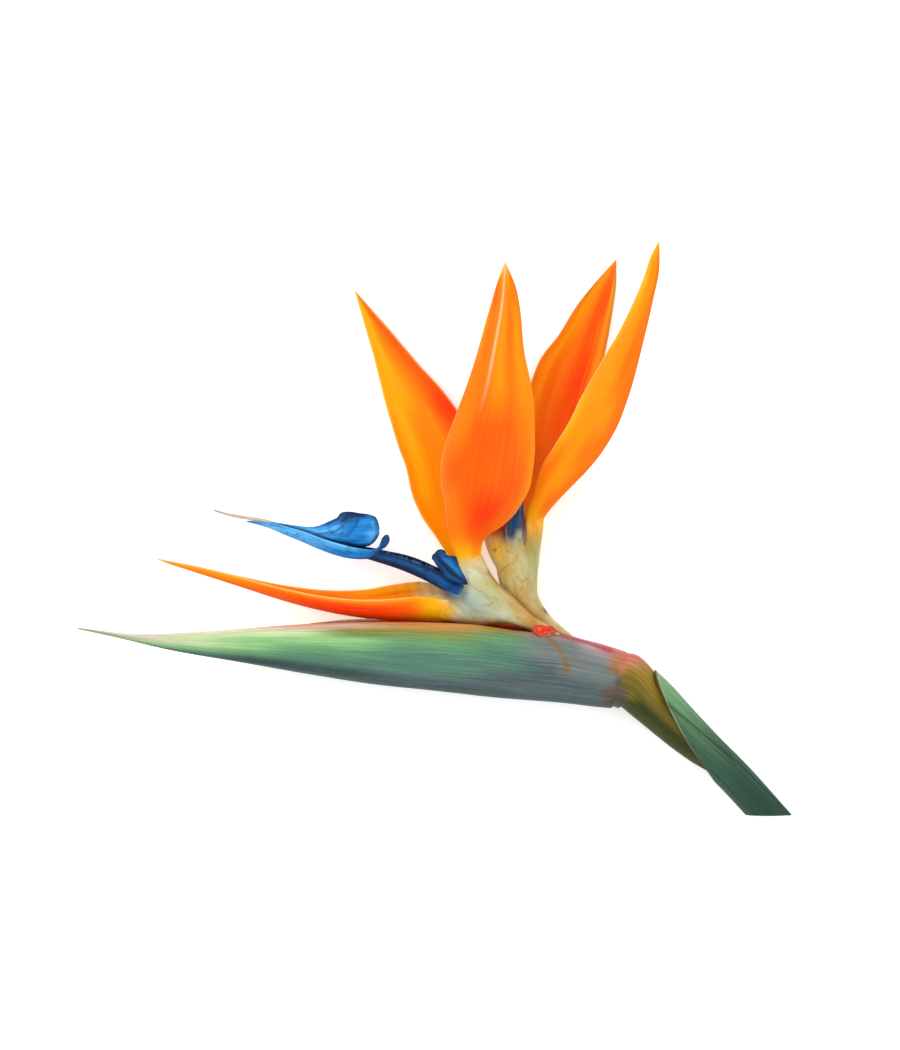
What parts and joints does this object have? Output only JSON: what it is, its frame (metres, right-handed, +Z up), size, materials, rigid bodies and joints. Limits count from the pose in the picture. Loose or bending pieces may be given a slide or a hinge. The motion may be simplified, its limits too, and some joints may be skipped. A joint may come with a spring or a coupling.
{
  "type": "bird of paradise flower",
  "caption": "Cut bird of paradise flower lying on its side: a beak-shaped green spathe on a sheathed stalk, with open florets of orange sepals and blue arrow petals.",
  "frame": {"origin": "centre of the flower's outline, on the surface it lies on", "axes": "+X from the beak's tip towards the cut stalk, +Y up the flower along its sepals, +Z up from the surface it lies on"},
  "size_m": [0.2383, 0.1906, 0.0375],
  "materials": {
    "spathe_skin": "living leaf skin, blue-green with a waxy bloom and a red rim, satin",
    "stalk_skin": "smooth olive plant skin, satin",
    "sheath_skin": "ribbed green leaf skin, satin",
    "floret_base_skin": "cream waxy plant flesh with brown scratches, satin",
    "sepal_orange": "waxy saturated orange petal with fine lengthwise veins",
    "petal_blue": "satin azure petal with darker folds",
    "style_white": "pale plant tissue, matt",
    "sap": "glossy red-orange dried sap"
  },
  "bodies": {
    "root": {"spathe": "spathe_skin", "flower_stalk": "stalk_skin", "stalk_sheath": "sheath_skin", "first_floret_base": "floret_base_skin", "first_floret_near_sepal": "sepal_orange", "first_floret_far_sepal": "sepal_orange", "first_floret_keel_sepal": "sepal_orange", "first_floret_arrow_petal_near": "petal_blue", "first_floret_arrow_petal_far": "petal_blue", "first_floret_small_petal": "petal_blue", "first_floret_style": "style_white", "second_floret_base": "floret_base_skin", "second_floret_near_sepal": "sepal_orange", "second_floret_far_sepal": "sepal_orange", "second_floret_keel_sepal": "sepal_orange", "second_floret_arrow_petal_near": "petal_blue", "second_floret_arrow_petal_far": "petal_blue", "second_floret_small_petal": "petal_blue", "second_floret_style": "style_white", "sap_drop": "sap"}
  },
  "joints": []
}
